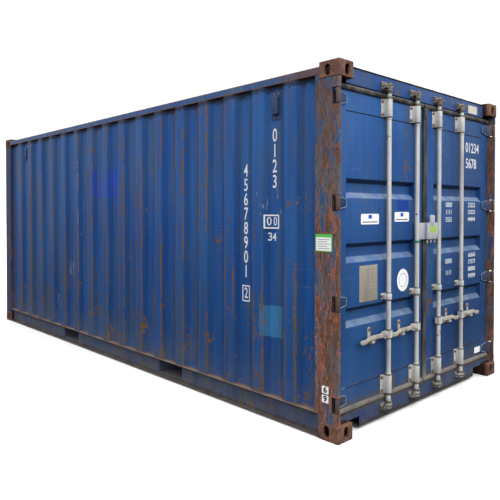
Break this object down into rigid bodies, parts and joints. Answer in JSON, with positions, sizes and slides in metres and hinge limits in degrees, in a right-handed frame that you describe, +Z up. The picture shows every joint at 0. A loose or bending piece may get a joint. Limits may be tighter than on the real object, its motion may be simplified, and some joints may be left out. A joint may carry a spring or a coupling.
{
  "type": "shipping container",
  "caption": "Steel dry-freight shipping container with corrugated walls, corner castings, fork pockets and a pair of end doors with turning lock bars.",
  "frame": {"origin": "middle of the underside, at the level of the bottom castings' feet", "axes": "+X to the door end, +Z up, -Y to the left when facing the doors"},
  "size_m": [6.058, 2.438, 2.591],
  "materials": {
    "blue_paint": "weathered satin paint",
    "door_paint": "weathered satin paint",
    "post_paint": "peeled paint over rust",
    "base_paint": "dusty paint",
    "casting_steel": "brown rust",
    "zinc_steel": "dull zinc",
    "handle_steel": "worn cream-grey",
    "gasket_rubber": "dusty rubber",
    "floor_wood": "worn plywood"
  },
  "bodies": {
    "frame": {"bottom_castings": "casting_steel", "top_castings": "casting_steel", "door_posts": "post_paint", "end_posts": "blue_paint", "hinge_pins": "casting_steel", "bottom_rails": "base_paint", "pocket_bridges": "base_paint", "top_rails": "blue_paint", "door_header": "blue_paint", "door_sill": "blue_paint", "end_header": "blue_paint", "end_sill": "base_paint", "side_walls": "blue_paint", "end_wall": "blue_paint", "roof": "blue_paint", "floor": "floor_wood", "cross_members": "base_paint", "fork_pocket_tops": "base_paint", "fork_pocket_sides": "base_paint", "fork_pocket_straps": "base_paint", "side_vents": "blue_paint", "cam_keepers": "zinc_steel"},
    "left_leaf": {"left_leaf_frame": "door_paint", "left_leaf_panel": "door_paint", "left_leaf_gasket": "gasket_rubber", "left_hinge_blades": "door_paint", "left_bar_brackets": "zinc_steel", "left_handle_catches": "handle_steel", "left_lock_box": "zinc_steel"},
    "right_leaf": {"right_leaf_frame": "door_paint", "right_leaf_panel": "door_paint", "right_leaf_gasket": "gasket_rubber", "right_hinge_blades": "door_paint", "right_bar_brackets": "zinc_steel", "right_handle_catches": "handle_steel", "right_lock_box": "zinc_steel"},
    "bar_1": {"lock_bar_1": "zinc_steel"},
    "handle_1_body": {"handle_1": "handle_steel"},
    "bar_2": {"lock_bar_2": "zinc_steel"},
    "handle_2_body": {"handle_2": "handle_steel"},
    "bar_3": {"lock_bar_3": "zinc_steel"},
    "handle_3_body": {"handle_3": "handle_steel"},
    "bar_4": {"lock_bar_4": "zinc_steel"},
    "handle_4_body": {"handle_4": "handle_steel"}
  },
  "joints": [
    {"name": "left_door_hinge", "type": "hinge", "parent": "frame", "child": "left_leaf", "pos_m": [3.007, -1.2, 1.3], "axis": [0, 0, -1], "range_deg": [0, 265]},
    {"name": "right_door_hinge", "type": "hinge", "parent": "frame", "child": "right_leaf", "pos_m": [3.007, 1.2, 1.3], "axis": [0, 0, 1], "range_deg": [0, 265]},
    {"name": "bar_1_turn", "type": "hinge", "parent": "left_leaf", "child": "bar_1", "pos_m": [2.997, -0.575, 1.3], "axis": [0, 0, -1], "range_deg": [-100, 0]},
    {"name": "bar_2_turn", "type": "hinge", "parent": "left_leaf", "child": "bar_2", "pos_m": [2.997, -0.175, 1.3], "axis": [0, 0, -1], "range_deg": [-100, 0]},
    {"name": "bar_3_turn", "type": "hinge", "parent": "right_leaf", "child": "bar_3", "pos_m": [2.997, 0.175, 1.3], "axis": [0, 0, 1], "range_deg": [-100, 0]},
    {"name": "bar_4_turn", "type": "hinge", "parent": "right_leaf", "child": "bar_4", "pos_m": [2.997, 0.575, 1.3], "axis": [0, 0, 1], "range_deg": [-100, 0]},
    {"name": "handle_1_lift", "type": "hinge", "parent": "bar_1", "child": "handle_1_body", "pos_m": [2.997, -0.631, 0.65], "axis": [-1, 0, 0], "range_deg": [0, 45]},
    {"name": "handle_2_lift", "type": "hinge", "parent": "bar_2", "child": "handle_2_body", "pos_m": [2.997, -0.231, 0.65], "axis": [-1, 0, 0], "range_deg": [0, 45]},
    {"name": "handle_3_lift", "type": "hinge", "parent": "bar_3", "child": "handle_3_body", "pos_m": [2.997, 0.231, 0.65], "axis": [1, 0, 0], "range_deg": [0, 45]},
    {"name": "handle_4_lift", "type": "hinge", "parent": "bar_4", "child": "handle_4_body", "pos_m": [2.997, 0.631, 0.65], "axis": [1, 0, 0], "range_deg": [0, 45]}
  ]
}
